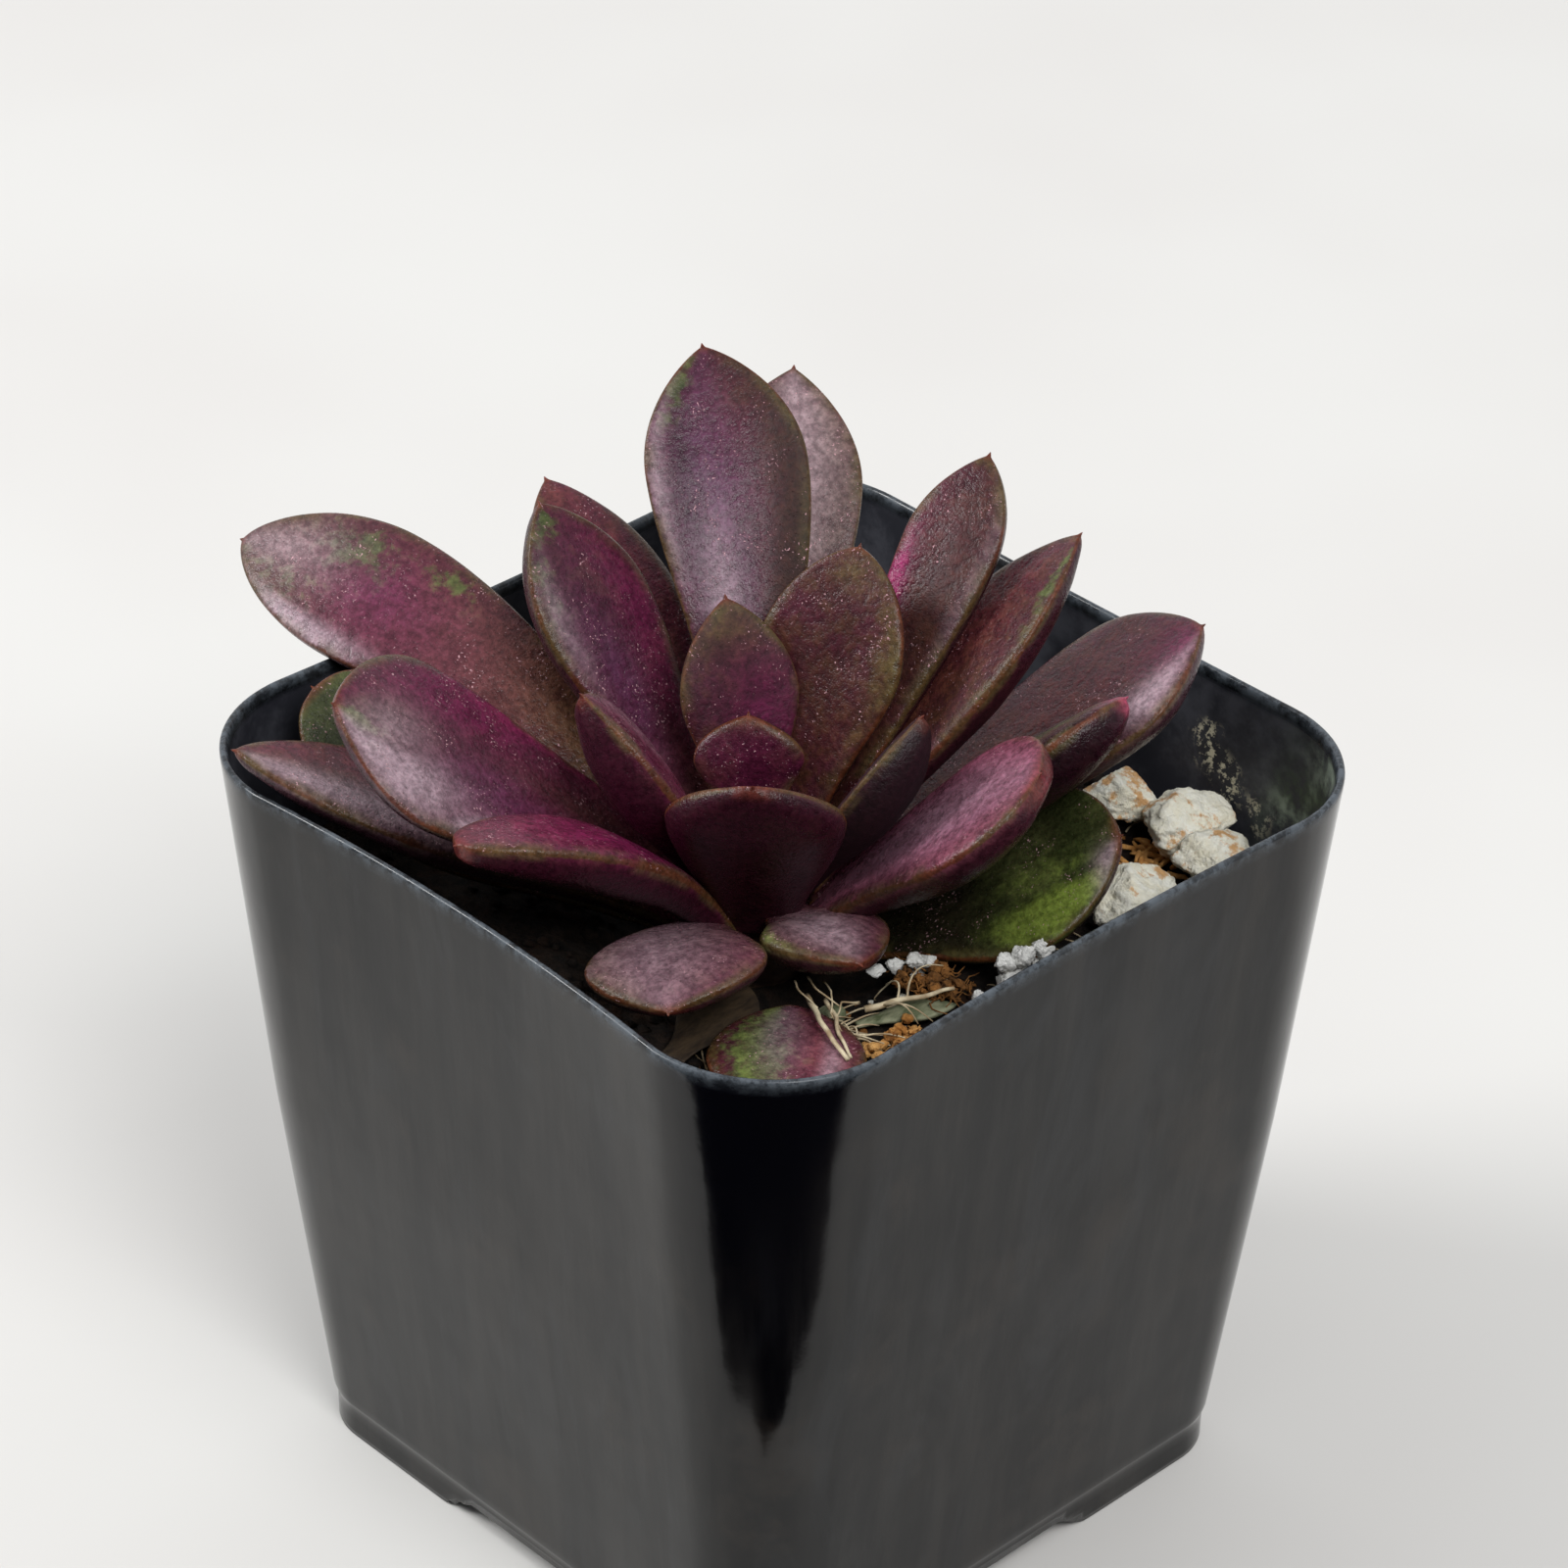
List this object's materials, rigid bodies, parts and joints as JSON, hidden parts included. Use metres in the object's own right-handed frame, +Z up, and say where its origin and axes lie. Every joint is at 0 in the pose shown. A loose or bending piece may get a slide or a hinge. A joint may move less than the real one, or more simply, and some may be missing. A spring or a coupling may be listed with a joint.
{
  "type": "potted succulent",
  "caption": "Rosette of pointed purple succulent leaves in a small square tapered nursery pot, with potting mix and pale stones.",
  "frame": {"origin": "on the ground under the middle of the object's bounds; the pot's own middle is 5.9 mm along +X, as one leaf reaches out over the -X side", "axes": "+Z up; the pot's four sides face +X, -X, +Y and -Y; the corner nearest the picture's viewer is the one between +X and -Y"},
  "size_m": [0.0716, 0.06, 0.0775],
  "materials": {
    "pot": "smooth, slightly glossy black",
    "soil": "loose fibrous potting mix",
    "stem": "dull",
    "leaf": "waxy, slightly sparkling",
    "dried_leaf": "dry",
    "leaf_scrap": "dry",
    "pumice": "rough, porous",
    "perlite": "rough, crumbly",
    "root": "dull",
    "chip": "rough"
  },
  "bodies": {
    "root": {"pot": "pot", "soil": "soil", "stem": "stem", "leaf_a": "leaf", "leaf_b": "leaf", "leaf_c": "leaf", "leaf_d": "leaf", "leaf_e": "leaf", "leaf_f1": "leaf", "leaf_f2": "leaf", "leaf_g": "leaf", "leaf_h": "leaf", "leaf_i": "leaf", "leaf_j": "leaf", "leaf_k": "leaf", "leaf_l": "leaf", "leaf_m": "leaf", "leaf_n": "leaf", "leaf_o": "leaf", "leaf_p": "leaf", "leaf_q": "leaf", "leaf_r": "leaf", "leaf_s": "leaf", "leaf_t": "leaf", "leaf_u": "leaf", "leaf_v": "leaf", "fallen_leaf": "leaf", "dried_leaf": "dried_leaf", "leaf_scrap": "leaf_scrap", "leaf_stub": "leaf_scrap", "pumice_a": "pumice", "pumice_b": "pumice", "pumice_c": "pumice", "pumice_d": "pumice", "perlite_a": "perlite", "perlite_b": "perlite", "root_a": "root", "root_b": "root", "root_c": "root", "chip_a": "chip", "chip_b": "chip", "straw_bit": "chip"}
  },
  "joints": []
}
